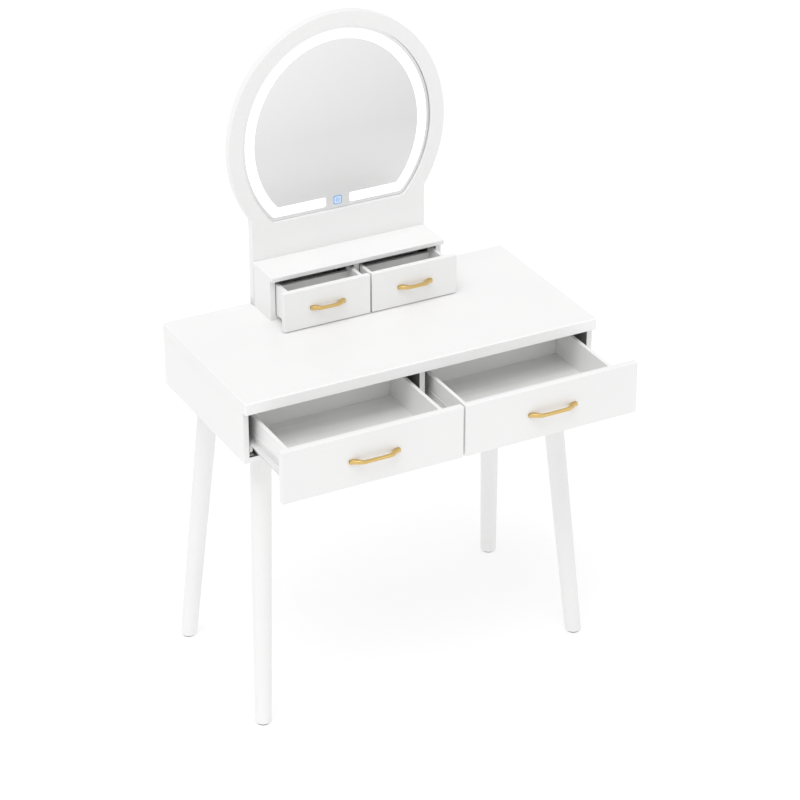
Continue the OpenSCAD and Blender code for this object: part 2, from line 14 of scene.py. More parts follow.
import bmesh
import bpy
import numpy as np
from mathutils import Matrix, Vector

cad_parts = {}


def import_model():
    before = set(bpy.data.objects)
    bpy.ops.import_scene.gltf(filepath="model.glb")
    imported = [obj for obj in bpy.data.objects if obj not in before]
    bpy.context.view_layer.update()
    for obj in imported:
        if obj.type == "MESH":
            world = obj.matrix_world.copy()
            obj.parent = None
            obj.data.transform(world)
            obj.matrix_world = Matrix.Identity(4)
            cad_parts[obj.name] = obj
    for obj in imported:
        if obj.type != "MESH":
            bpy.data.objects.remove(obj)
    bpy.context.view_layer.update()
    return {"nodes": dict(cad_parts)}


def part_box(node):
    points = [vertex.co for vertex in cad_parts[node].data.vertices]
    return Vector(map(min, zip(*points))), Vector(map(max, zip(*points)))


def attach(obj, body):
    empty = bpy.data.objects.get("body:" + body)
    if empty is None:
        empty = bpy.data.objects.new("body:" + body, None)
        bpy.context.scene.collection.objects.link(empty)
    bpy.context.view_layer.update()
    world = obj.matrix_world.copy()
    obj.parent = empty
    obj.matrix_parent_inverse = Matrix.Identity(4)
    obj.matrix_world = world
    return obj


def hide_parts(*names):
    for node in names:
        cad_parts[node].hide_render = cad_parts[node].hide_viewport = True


log = logging.getLogger("vanity")

MM = 0.001
EDGE = "edge"

Colour = tuple[float, float, float]
Point = tuple[float, float]
Socket = bpy.types.NodeSocket


def grey(tone: float) -> Colour:
    """A neutral colour of one tone."""
    return (tone, tone, tone)


class Side(Enum):
    """The left or right half of the table, with its sign along X."""

    LEFT = -1
    RIGHT = 1

    @property
    def word(self) -> str:
        """The side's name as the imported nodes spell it."""
        return self.name.lower()


class Way(Enum):
    """A direction that a turned piece faces."""

    UP = (0.0, 0.0, 1.0)
    DOWN = (0.0, 0.0, -1.0)
    RIGHT = (1.0, 0.0, 0.0)
    BACK = (0.0, 1.0, 0.0)

    @property
    def vector(self) -> Vector:
        """The direction as a unit vector."""
        return Vector(self.value)


class ScrewHead(Enum):
    """The form of a screw's head."""

    COUNTERSUNK = "countersunk"
    PAN = "pan"


# ---------------------------------------------------------------- finishes


class Recipe:
    """A material in the making: one shader with a few texture nodes."""

    def __init__(self, name: str) -> None:
        """Starts an empty material.

        Args:
            name: The material's name.
        """
        self.material = bpy.data.materials.new(name)
        self.material.use_nodes = True
        tree = self.material.node_tree
        self.nodes = tree.nodes
        self.links = tree.links
        self.shader = self.nodes["Principled BSDF"]
        self.place = self.nodes.new("ShaderNodeTexCoord").outputs["Object"]

    def stretched(self, scale: Colour) -> Socket:
        """The surface's own coordinates, scaled along each axis.

        Args:
            scale: The three factors.

        Returns:
            The socket with the scaled coordinates.
        """
        mapping = self.nodes.new("ShaderNodeMapping")
        mapping.inputs["Scale"].default_value = scale
        self.links.new(self.place, mapping.inputs["Vector"])
        return mapping.outputs["Vector"]

    def noise(self, scale: float, detail: float = 3.0, along: Colour | None = None) -> Socket:
        """Soft noise from 0 to 1.

        Args:
            scale: How many features there are in a metre.
            detail: How many finer layers are added.
            along: Factors that stretch the noise, or None for round features.

        Returns:
            The socket with the noise.
        """
        texture = self.nodes.new("ShaderNodeTexNoise")
        texture.inputs["Scale"].default_value = scale
        texture.inputs["Detail"].default_value = detail
        source = self.place if along is None else self.stretched(along)
        self.links.new(source, texture.inputs["Vector"])
        return texture.outputs["Fac"]

    def edge(self) -> Socket:
        """1 on a piece's arrises and 0 on its faces, as the meshes store it."""
        attribute = self.nodes.new("ShaderNodeAttribute")
        attribute.attribute_name = EDGE
        return attribute.outputs["Fac"]

    def spread(
        self, value: Socket, low: float, high: float, start: float = 0.3, end: float = 0.7
    ) -> Socket:
        """Maps a value from start to end onto low to high.

        Args:
            value: The socket to map.
            low: The result at start.
            high: The result at end.
            start: The lower end of what is mapped.
            end: The upper end of what is mapped.

        Returns:
            The mapped socket.
        """
        node = self.nodes.new("ShaderNodeMapRange")
        for name, number in (("From Min", start), ("From Max", end), ("To Min", low), ("To Max", high)):
            node.inputs[name].default_value = number
        self.links.new(value, node.inputs["Value"])
        return node.outputs["Result"]

    def cloud(self, low: float, high: float, scale: float, detail: float = 3.0) -> Socket:
        """Soft noise between two values.

        Args:
            low: The lower value.
            high: The upper value.
            scale: How many features there are in a metre.
            detail: How many finer layers are added.

        Returns:
            The socket with the noise.
        """
        return self.spread(self.noise(scale, detail), low, high)

    def added(self, first: Socket, second: Socket) -> Socket:
        """The sum of two sockets."""
        node = self.nodes.new("ShaderNodeMath")
        node.operation = "ADD"
        self.links.new(first, node.inputs[0])
        self.links.new(second, node.inputs[1])
        return node.outputs[0]

    def mixed(self, factor: Socket, low: Colour, high: Colour) -> Socket:
        """A colour between two.

        Args:
            factor: 0 for the first colour and 1 for the second.
            low: The first colour.
            high: The second colour.

        Returns:
            The socket with the colour.
        """
        ramp = self.nodes.new("ShaderNodeValToRGB")
        ramp.color_ramp.elements[0].color = (*low, 1.0)
        ramp.color_ramp.elements[1].color = (*high, 1.0)
        self.links.new(factor, ramp.inputs["Fac"])
        return ramp.outputs["Color"]

    def feed(self, source: Socket, socket: str = "Base Color") -> None:
        """Feeds one of the shader's sockets, its colour if none is named."""
        self.links.new(source, self.shader.inputs[socket])

    def relief(self, height: Socket, depth: float, strength: float = 0.5) -> None:
        """Gives the surface fine relief.

        Args:
            height: The socket with the heights, from 0 to 1.
            depth: The relief's depth.
            strength: How much of it shows.
        """
        bump = self.nodes.new("ShaderNodeBump")
        bump.inputs["Distance"].default_value = depth
        bump.inputs["Strength"].default_value = strength
        self.links.new(height, bump.inputs["Height"])
        self.links.new(bump.outputs["Normal"], self.shader.inputs["Normal"])

    def fix(self, **values: float) -> None:
        """Sets constants on the shader's own sockets, an underscore standing for a space."""
        for name, value in values.items():
            self.shader.inputs[name.replace("_", " ")].default_value = value


@dataclass(frozen=True)
class Finish:
    """What a surface is made of, and the record's slot that it stands for."""

    name: str
    slot: str

    def material(self) -> bpy.types.Material:
        """Makes the finish's material."""
        recipe = Recipe(self.name)
        self.mix(recipe)
        return recipe.material

    def mix(self, recipe: Recipe) -> None:
        """Sets a recipe's shader up as this finish.

        Args:
            recipe: The material in the making.
        """
        raise NotImplementedError


@dataclass(frozen=True)
class Lacquer(Finish):
    """White satin lacquer on board: faint mottling, orange peel and paler arrises."""

    tone: Colour = (0.885, 0.885, 0.88)
    shade: Colour = (0.862, 0.863, 0.861)
    arris: float = 0.03
    roughness: float = 0.36

    def mix(self, recipe: Recipe) -> None:
        """Sets a recipe's shader up as this finish."""
        cloud = recipe.cloud(0.0, 1.0 - self.arris * 10, 5.0, 4.0)
        worn = recipe.spread(recipe.edge(), 0.0, self.arris * 10, 0.2, 1.0)
        recipe.feed(recipe.mixed(recipe.added(cloud, worn), self.shade, self.tone))
        sheen = recipe.cloud(self.roughness - 0.05, self.roughness + 0.06, 38.0, 5.0)
        rubbed = recipe.spread(recipe.edge(), 0.0, 0.07, 0.3, 1.0)
        recipe.feed(recipe.added(sheen, rubbed), "Roughness")
        recipe.relief(recipe.noise(620.0, 2.0), 0.04 * MM, 0.35)
        recipe.fix(Coat_Weight=0.12, Coat_Roughness=0.22)


@dataclass(frozen=True)
class Lining(Finish):
    """Thin coated board for drawer bottoms, with a faint printed grain along X."""

    tone: Colour = (0.88, 0.88, 0.865)
    grain: Colour = (0.78, 0.78, 0.765)

    def mix(self, recipe: Recipe) -> None:
        """Sets a recipe's shader up as this finish."""
        streaks = recipe.noise(16.0, 7.0, (0.16, 3.2, 3.2))
        blots = recipe.noise(9.0, 3.0, (0.6, 1.4, 1.4))
        both = recipe.spread(recipe.added(streaks, blots), 0.0, 1.0, 0.72, 1.28)
        recipe.feed(recipe.mixed(both, self.grain, self.tone))
        recipe.feed(recipe.spread(streaks, 0.42, 0.58), "Roughness")
        recipe.relief(recipe.noise(90.0, 3.0, (0.2, 5.0, 5.0)), 0.05 * MM, 0.3)


@dataclass(frozen=True)
class BrushedGold(Finish):
    """Gold-coloured metal brushed along the handle's bar."""

    tone: Colour = (0.82, 0.60, 0.25)
    shade: Colour = (0.60, 0.41, 0.14)

    def mix(self, recipe: Recipe) -> None:
        """Sets a recipe's shader up as this finish."""
        strokes = recipe.noise(240.0, 5.0, (0.08, 4.0, 4.0))
        recipe.feed(recipe.mixed(recipe.spread(strokes, 0.0, 1.0), self.shade, self.tone))
        grip = recipe.cloud(0.24, 0.34, 45.0, 3.0)
        recipe.feed(recipe.added(grip, recipe.spread(strokes, 0.0, 0.08)), "Roughness")
        recipe.relief(strokes, 0.03 * MM, 0.5)
        recipe.fix(Metallic=1.0, Anisotropic=0.5)


@dataclass(frozen=True)
class PlatedSteel(Finish):
    """Zinc-plated steel, slightly blotched and finely scratched."""

    tone: Colour = (0.66, 0.67, 0.69)
    shade: Colour = (0.50, 0.51, 0.53)

    def mix(self, recipe: Recipe) -> None:
        """Sets a recipe's shader up as this finish."""
        blots = recipe.noise(120.0, 6.0)
        recipe.feed(recipe.mixed(recipe.spread(blots, 0.0, 1.0), self.shade, self.tone))
        recipe.feed(recipe.cloud(0.28, 0.46, 300.0, 4.0), "Roughness")
        recipe.relief(recipe.noise(900.0, 3.0, (0.3, 1.0, 1.0)), 0.02 * MM, 0.4)
        recipe.fix(Metallic=1.0)


@dataclass(frozen=True)
class Moulded(Finish):
    """Moulded plastic, rubber or powder coat, told apart by its colours and grain."""

    tone: Colour = grey(0.8)
    shade: Colour = grey(0.76)
    roughness: float = 0.5
    grain: float = 900.0
    depth: float = 0.05 * MM

    def mix(self, recipe: Recipe) -> None:
        """Sets a recipe's shader up as this finish."""
        cloud = recipe.cloud(0.0, 1.0, 28.0, 5.0)
        recipe.feed(recipe.mixed(cloud, self.shade, self.tone))
        wear = recipe.cloud(self.roughness - 0.07, self.roughness + 0.07, 70.0, 4.0)
        recipe.feed(wear, "Roughness")
        recipe.relief(recipe.noise(self.grain, 2.0), self.depth, 0.4)


@dataclass(frozen=True)
class SilveringPaintedLight(Finish):
    """Silvered glass with a painted reflection: its colour is a little brighter towards its left and its
    ends, standing in for the light it mirrors.
    """

    # The two ends of the painted reflection's colour slope.
    painted_bright: Colour = grey(0.84)
    painted_dim: Colour = grey(0.67)
    middle_z: float = 1.1
    reach: float = 0.30

    def mix(self, recipe: Recipe) -> None:
        """Sets a recipe's shader up as this finish."""
        parts = recipe.nodes.new("ShaderNodeSeparateXYZ")
        recipe.links.new(recipe.place, parts.inputs["Vector"])
        # Painted reflection: the colour slopes from bright at the left and the ends to dim elsewhere.
        low, high = self.middle_z - self.reach, self.middle_z + self.reach
        across = recipe.spread(parts.outputs["X"], 0.72, 0.0, -self.reach, self.reach)
        up = recipe.spread(parts.outputs["Z"], 0.0, 0.5, self.middle_z, high)
        down = recipe.spread(parts.outputs["Z"], 0.75, 0.0, low, self.middle_z)
        painted_light_slope = recipe.added(across, recipe.added(up, down))
        recipe.feed(recipe.mixed(painted_light_slope, self.painted_dim, self.painted_bright))
        recipe.feed(recipe.cloud(0.26, 0.28, 2.0, 1.0), "Roughness")
        recipe.fix(Metallic=1.0, Coat_Weight=0.4, Coat_Roughness=0.03)


@dataclass(frozen=True)
class Glow(Finish):
    """Frosted plastic lit from behind."""

    tone: Colour = (1.0, 1.0, 1.0)
    rim: Colour = (0.93, 0.95, 1.0)
    strength: float = 1.0

    def mix(self, recipe: Recipe) -> None:
        """Sets a recipe's shader up as this finish."""
        frost = recipe.cloud(0.0, 0.25, 160.0, 3.0)
        rim = recipe.spread(recipe.edge(), 0.0, 0.75, 0.3, 1.0)
        shown = recipe.mixed(recipe.added(frost, rim), self.tone, self.rim)
        recipe.feed(shown)
        recipe.feed(shown, "Emission Color")
        recipe.feed(recipe.cloud(0.45, 0.6, 420.0, 2.0), "Roughness")
        recipe.relief(recipe.noise(1500.0, 2.0), 0.02 * MM, 0.3)
        recipe.fix(Emission_Strength=self.strength)


LACQUER = Lacquer("white_satin_lacquer", "white_lacquer")
# Painted light: a paler lacquer for the table top's front face, standing in for the light that falls on
# it.
EDGE_STRIP_PAINTED_LIGHT = Lacquer("painted_light_edge_strip", "white_lacquer", grey(0.99), grey(0.98), 0.03, 0.42)
# Painted shade: dark grey lacquer on the inner faces of the case and the hutch, standing in for the shadow
# inside them.
INNER_PAINTED_SHADE = Lacquer("painted_shade_inner_faces", "white_lacquer", (0.17, 0.17, 0.168), (0.14, 0.14, 0.138), 0.02, 0.5)
LINING = Lining("coated_drawer_bottom", "drawer_lining")
GOLD = BrushedGold("brushed_gold", "brushed_gold")
STEEL = PlatedSteel("plated_steel", "steel")
RAIL_PAINT = Moulded("rail_powder_coat", "slide_paint", grey(0.80), grey(0.75), 0.45, 700.0)
# Painted shade: the case rails are coloured dark grey so that they look shadowed.
CASE_RAIL_PAINTED_SHADE = Moulded("case_rail_painted_shade", "slide_paint", grey(0.36), grey(0.31), 0.45, 700.0)
NYLON = Moulded("roller_nylon", "nylon", (0.80, 0.80, 0.77), (0.74, 0.74, 0.71), 0.42, 1200.0)
RUBBER = Moulded("glide_rubber", "glide_rubber", grey(0.055), grey(0.035), 0.75, 800.0)
COVER = Moulded(
    "cover_plastic", "cover_plastic", (0.74, 0.74, 0.73), (0.70, 0.70, 0.69), 0.55, 650.0, 0.12 * MM
)
SOCKET = Moulded("socket_plastic", "socket_plastic", grey(0.02), grey(0.012), 0.45)
BAND = Glow("frosted_light_band", "light_band", strength=0.35)
LED = Glow("led_strip", "led", (1.0, 0.96, 0.86), (0.95, 0.88, 0.70), 1.5)
TOUCH = Glow("touch_mark", "touch_light", (0.10, 0.32, 0.76), (0.08, 0.27, 0.70), 0.10)
TOUCH_FIELD = Glow("touch_field", "touch_light", (0.62, 0.78, 0.93), (0.56, 0.73, 0.90), 0.10)


@cache
def material_of(finish: Finish) -> bpy.types.Material:
    """A finish's material, made once and shared by every piece that has it."""
    return finish.material()


# ---------------------------------------------------------------- places


@dataclass(frozen=True)
class Box:
    """A box with its edges along the axes."""

    low: Vector
    high: Vector

    @staticmethod
    def of(node: str) -> "Box":
        """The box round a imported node."""
        return Box(*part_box(node))

    @property
    def size(self) -> Vector:
        """The box's three lengths."""
        return self.high - self.low

    @property
    def centre(self) -> Vector:
        """The box's middle."""
        return (self.low + self.high) / 2

    def holds(self, point: Vector) -> bool:
        """Whether a point is in the box."""
        return all(a <= p <= b for a, p, b in zip(self.low, point, self.high))


@dataclass(frozen=True)
class Accent:
    """A second finish, for the faces whose middles lie in one place."""

    finish: Finish
    place: Box


@dataclass(frozen=True)
class Packed:
    """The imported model, asked for points and single solids."""

    nodes: dict[str, bpy.types.Object]

    def points(self, node: str) -> np.ndarray:
        """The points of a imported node, one row each."""
        return np.array([v.co for v in self.nodes[node].data.vertices], float).reshape(-1, 3)

    def solids(self, node: str) -> list[Box]:
        """The boxes of the separate solids in a node.

        Args:
            node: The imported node's name.

        Returns:
            One box for each solid, ordered by place.
        """
        points = self.points(node)
        _, spot = np.unique(np.round(points, 5), axis=0, return_inverse=True)
        spot = spot.reshape(-1)
        group = np.arange(spot.max() + 1)

        def head(i: int) -> int:
            while group[i] != i:
                group[i] = group[group[i]]
                i = group[i]
            return i

        for face in self.nodes[node].data.polygons:
            first = head(spot[face.vertices[0]])
            for vertex in face.vertices[1:]:
                group[head(spot[vertex])] = first
        heads = np.array([head(i) for i in spot])
        boxes = [
            Box(Vector(points[heads == h].min(0)), Vector(points[heads == h].max(0)))
            for h in np.unique(heads)
        ]
        return sorted(boxes, key=lambda b: tuple(round(c, 4) for c in b.centre))


# ---------------------------------------------------------------- shapes


@dataclass
class Shape:
    """A mesh in the making: points, faces, and how near each point is to an arris."""

    points: list[Vector] = field(default_factory=list)
    faces: list[tuple[int, ...]] = field(default_factory=list)
    edge: list[float] = field(default_factory=list)

    def add(self, other: "Shape") -> "Shape":
        """Takes in another shape.

        Args:
            other: The shape to add.

        Returns:
            This shape.
        """
        start = len(self.points)
        self.points += other.points
        self.edge += other.edge
        self.faces += [tuple(i + start for i in face) for face in other.faces]
        return self


def quarter_round(radius: float, steps: int = 4) -> list[Point]:
    """Inset and rise of a rounded arris, from its flat face to its side.

    Args:
        radius: The arris's radius.
        steps: Number of faces round it.

    Returns:
        The points, the first with the full inset and no rise.
    """
    bends = [math.pi / 2 * i / steps for i in range(steps + 1)]
    return [(radius * (1 - math.sin(bend)), radius * (1 - math.cos(bend))) for bend in bends]


def rounded_board(box: Box, radius: float, margin: float = 2.5 * MM) -> Shape:
    """A board whose edges and corners are truly round.

    Args:
        box: The board's outer size.
        radius: The radius of its edges.
        margin: Width of the strip beside each edge that shows wear.

    Returns:
        The closed shape.
    """
    radius = min(radius, 0.45 * min(box.size))
    bend = [radius * (1 - math.tan(math.radians(a))) for a in (45, 30, 15, 0)]
    lines = []
    for low, high in zip(box.low, box.high):
        near = [*bend, *([radius + margin] if high - low > 2.5 * (radius + margin) else [])]
        lines.append([low + d for d in near] + [high - d for d in reversed(near)])
    core_low = box.low + Vector((radius,) * 3)
    core_high = box.high - Vector((radius,) * 3)
    shape = Shape()
    index: dict[tuple[int, int, int], int] = {}
    last = [len(line) - 1 for line in lines]

    def spot(key: tuple[int, int, int]) -> int:
        if key not in index:
            raw = Vector(line[i] for line, i in zip(lines, key))
            core = Vector(min(max(c, a), b) for c, a, b in zip(raw, core_low, core_high))
            depth = sorted(min(c - a, b - c) for c, a, b in zip(raw, box.low, box.high))
            index[key] = len(shape.points)
            shape.points.append(core + (raw - core).normalized() * radius)
            shape.edge.append(max(0.0, 1 - depth[1] / (radius + margin)))
        return index[key]

    for axis in range(3):
        u, v = (axis + 1) % 3, (axis + 2) % 3
        for end in (0, last[axis]):
            for i in range(last[u]):
                for j in range(last[v]):
                    ring = []
                    for du, dv in ((0, 0), (1, 0), (1, 1), (0, 1)):
                        key = [0, 0, 0]
                        key[axis], key[u], key[v] = end, i + du, j + dv
                        ring.append(spot((key[0], key[1], key[2])))
                    shape.faces.append(tuple(ring if end else reversed(ring)))
    return shape


def skin(
    rows: Sequence[Sequence[Vector]],
    edge: Sequence[float] | None = None,
    round_rows: bool = False,
    round_points: bool = True,
) -> Shape:
    """Faces between outlines that have equally many points.

    Args:
        rows: The outlines.
        edge: How near each outline is to an arris, from 0 to 1.
        round_rows: Whether the last outline joins the first.
        round_points: Whether each outline is closed.

    Returns:
        The shape.
    """
    count = len(rows[0])
    worn = list(edge) if edge is not None else [0.0] * len(rows)
    worn_points = [worn[i] for i in range(len(rows)) for _ in range(count)]
    shape = Shape([p for row in rows for p in row], [], worn_points)
    for i in range(len(rows) if round_rows else len(rows) - 1):
        here, there = i * count, (i + 1) % len(rows) * count
        for j in range(count if round_points else count - 1):
            k = (j + 1) % count
            shape.faces.append((here + j, here + k, there + k, there + j))
    return shape


def fan(shape: Shape, ring: Sequence[int], tip: Vector) -> None:
    """Closes a ring of a shape's points with triangles that meet at one more point.

    Args:
        shape: The shape to close.
        ring: The ring's points, in order.
        tip: The point where the triangles meet.
    """
    shape.points.append(tip)
    shape.edge.append(0.0)
    shape.faces += [(i, ring[(j + 1) % len(ring)], len(shape.points) - 1) for j, i in enumerate(ring)]


def turned(
    profile: Sequence[Point], base: Vector, way: Way, segments: int = 32, cross: Point | None = None
) -> Shape:
    """A turned piece, with an optional cross recess in its top.

    Args:
        profile: Radius and height of each ring from the base up. A radius of 0 closes an end,
            and a profile with none closes on itself round a bore.
        base: The point on the axis at height 0.
        way: The direction of the axis.
        segments: Number of points in a ring.
        cross: Reach and depth of a cross recess in the top, or None.

    Returns:
        The shape.
    """
    axis = way.vector
    across = Vector((0, 1, 0)) if abs(axis.z) > 0.5 else Vector((0, 0, 1))
    side = axis.cross(across)
    top = max(height for _, height in profile)
    quarter = segments // 4
    rows = []
    for radius, height in (ring for ring in profile if ring[0] > 0):
        in_reach = cross is not None and radius <= cross[0] and height == top
        row = []
        for j in range(segments):
            in_arm = in_reach and (j % quarter in (0, 1, quarter - 1) or radius < 0.4 * cross[0])
            spoke = across * math.cos(math.tau * j / segments) + side * math.sin(math.tau * j / segments)
            row.append(base + spoke * radius + axis * (height - (cross[1] if in_arm else 0.0)))
        rows.append(row)
    solid = profile[0][0] == 0
    shape = skin(rows, round_rows=not solid)
    if solid:
        last = (len(rows) - 1) * segments
        fan(shape, range(segments), base + axis * profile[0][1])
        fan(shape, range(last, last + segments), base + axis * (top - (cross[1] if cross else 0.0)))
    return shape


def ribbon(
    outer: Sequence[Point], inner: Sequence[Point], front: float, depth: float, closed: bool, soft: float
) -> Shape:
    """A flat strip between two lines that are drawn upright, seen from the front.

    Args:
        outer: The strip's outer line.
        inner: Its inner line, with as many points.
        front: The strip's front plane.
        depth: How far it goes back.
        closed: Whether its ends meet.
        soft: The radius of its front arrises.

    Returns:
        The closed shape.
    """
    rows, edge = [], []

    def row(share: float, y: float, worn: float) -> None:
        pairs = zip(outer, inner)
        rows.append([Vector((a + (c - a) * share, y, b + (d - b) * share)) for (a, b), (c, d) in pairs])
        edge.append(worn)

    width = (Vector(outer[len(outer) // 2]) - Vector(inner[len(inner) // 2])).length
    lip = min(soft / width, 0.3)
    side = [(0, depth, 1), (0, soft, 1), (0.3 * lip, 0.3 * soft, 1), (lip, 0, 0.7), (2 * lip, 0, 0)]
    for share, y, worn in side:
        row(share, front + y, worn)
    for share, y, worn in reversed(side):
        row(1 - share, front + y, worn)
    shape = skin(rows, edge, round_rows=True, round_points=closed)
    if not closed:
        count = len(outer)
        shape.faces.append(tuple(i * count for i in range(len(rows))))
        shape.faces.append(tuple(i * count + count - 1 for i in range(len(rows))))
    return shape


def put(
    name: str,
    shape: Shape,
    finish: Finish,
    body: str,
    stands_for: Iterable[str] = (),
    accent: Accent | None = None,
) -> bpy.types.Object:
    """Makes a piece of a shape and lets it ride on a body.

    Args:
        name: The piece's name.
        shape: Its mesh, in place.
        finish: Its finish.
        body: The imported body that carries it.
        stands_for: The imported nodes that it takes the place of.
        accent: A second finish for the faces in one place, or None.

    Returns:
        The piece.
    """
    mesh = bpy.data.meshes.new(name)
    mesh.from_pydata([tuple(p) for p in shape.points], [], shape.faces)
    mesh.attributes.new(EDGE, "FLOAT", "POINT").data.foreach_set("value", shape.edge)
    draft = bmesh.new()
    draft.from_mesh(mesh)
    bmesh.ops.recalc_face_normals(draft, faces=draft.faces)
    draft.to_mesh(mesh)
    draft.free()
    mesh.materials.append(material_of(finish))
    if accent is not None:
        mesh.materials.append(material_of(accent.finish))
        for face in mesh.polygons:
            face.material_index = int(accent.place.holds(face.center))
    mesh.shade_smooth()
    piece = bpy.data.objects.new(name, mesh)
    bpy.context.scene.collection.objects.link(piece)
    piece.modifiers.new("even_light", "WEIGHTED_NORMAL").keep_sharp = True
    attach(piece, body)
    nodes = list(stands_for)
    if nodes:
        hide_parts(*nodes)
    log.info("%s: %d faces on %s, for %s", name, len(shape.faces), body, ", ".join(nodes) or "no node")
    return piece


def dress(node: bpy.types.Object, finish: Finish, soft: float = 0.0) -> None:
    """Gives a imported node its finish, and breaks its arrises if it has a size for that.

    Args:
        node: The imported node's object.
        finish: Its finish.
        soft: The width of its broken arrises.
    """
    node.data.materials.clear()
    node.data.materials.append(material_of(finish))
    if soft:
        node.modifiers.new("joined_faces", "WELD").merge_threshold = 0.01 * MM
        bevel = node.modifiers.new("broken_arrises", "BEVEL")
        bevel.width = soft
        bevel.segments = 2
        bevel.limit_method = "ANGLE"
        bevel.angle_limit = math.radians(40)
        node.modifiers.new("even_light", "WEIGHTED_NORMAL").keep_sharp = True
    log.info("%s: kept, finished as %s", node.name, finish.name)


# ---------------------------------------------------------------- sub-assemblies


@dataclass
class SubAssembly:
    """A part of the table that builds and dresses its own pieces."""

    packed: Packed

    def build(self) -> None:
        """Makes every piece of the sub-assembly."""
        raise NotImplementedError

    def boards(
        self,
        body: str,
        radius: float,
        nodes: Iterable[str],
        finish: Finish = LACQUER,
        accent: Accent | None = None,
    ) -> None:
        """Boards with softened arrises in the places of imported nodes.

        Args:
            body: The body that carries them.
            radius: The radius of their arrises.
            nodes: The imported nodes, each of one or more boards.
            finish: Their finish.
            accent: A second finish for their faces in one place, or None.
        """
        for node in nodes:
            shape = Shape()
            for box in self.packed.solids(node):
                shape.add(rounded_board(box, radius))
            put(f"{node}_made", shape, finish, body, [node], accent)

    @staticmethod
    def painted_shade_room(left: str, right: str, floor: str, ceiling: str, skirt: float = 0.1 * MM) -> Accent:
        """The painted shade of the faces between the panels of a case: a dark grey finish that keeps the
        gaps dark as if shadowed.

        Args:
            left: The panel on its left.
            right: The panel on its right.
            floor: The panel under it.
            ceiling: The panel over it.
            skirt: How far the room reaches into those panels' faces.

        Returns:
            The painted shade finish and the room that it is in.
        """
        base, lid = Box.of(floor), Box.of(ceiling)
        low = Vector((Box.of(left).high.x - skirt, base.low.y + 2 * MM, base.high.z - skirt))
        high = Vector((Box.of(right).low.x + skirt, base.high.y + skirt, lid.low.z + skirt))
        return Accent(INNER_PAINTED_SHADE, Box(low, high))

    def screws(self, node: str, body: str, head: ScrewHead, head_r: float, head_t: float) -> None:
        """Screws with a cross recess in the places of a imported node's screws.

        Args:
            node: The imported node.
            body: The body that carries them.
            head: The form of their heads.
            head_r: The heads' radius.
            head_t: The heads' thickness.
        """
        shape = Shape()
        for box in self.packed.solids(node):
            upright = box.size.z > box.size.y
            way = Way.DOWN if upright else Way.BACK
            base = Vector(box.centre)
            if upright:
                base.z = box.high.z
            else:
                base.y = box.low.y
            length = max(box.size)
            shaft = min(0.52 * head_r, 0.5 * min(box.size))
            reach = 0.56 * head_r
            under = length - head_t
            if head is ScrewHead.COUNTERSUNK:
                rise = [(shaft, under), (head_r * 0.97, length - 0.1 * head_t), (head_r * 0.97, length)]
            else:
                rise = [(shaft, under), (head_r, under), (head_r, under + 0.35 * head_t)]
                rise += [(0.93 * head_r, under + 0.72 * head_t), (0.76 * head_r, length - 0.04 * head_t)]
                rise += [(0.68 * head_r, length)]
            tip = [(0.0, 0.0), (0.35 * shaft, 0.0), (shaft, 1.6 * shaft)]
            slot = [(1.05 * reach, length), (reach, length), (0.39 * reach, length), (0.0, length)]
            shape.add(turned([*tip, *rise, *slot], base, way, cross=(reach, 0.55 * head_t)))
        put(f"{node}_made", shape, STEEL, body, [node])


@dataclass
class Carcass(SubAssembly):
    """The table top and the case under it that holds the two large drawers."""

    top_edge: float = 1.6 * MM
    panel_edge: float = 0.9 * MM
    strip_t: float = 2.0 * MM
    rail_edge: float = 0.25 * MM

    def build(self) -> None:
        """Makes every piece of the sub-assembly."""
        top = Box.of("table_top")
        # The table top's front face gets painted light, a paler lacquer.
        painted_light_face = Box(top.low, Vector((top.high.x, top.low.y + self.strip_t, top.high.z)))
        self.boards("table", self.top_edge, ["table_top"], accent=Accent(EDGE_STRIP_PAINTED_LIGHT, painted_light_face))
        panels = ["left_side_panel", "right_side_panel", "back_panel", "centre_divider", "bottom_panel"]
        # The faces inside the case get painted shade, a dark grey finish.
        painted_shade_room = self.painted_shade_room("left_side_panel", "right_side_panel", "bottom_panel", "table_top")
        self.boards("table", self.panel_edge, panels, accent=painted_shade_room)
        # The case rails wear the painted shade finish.
        dress(self.packed.nodes["cabinet_rails"], CASE_RAIL_PAINTED_SHADE, self.rail_edge)


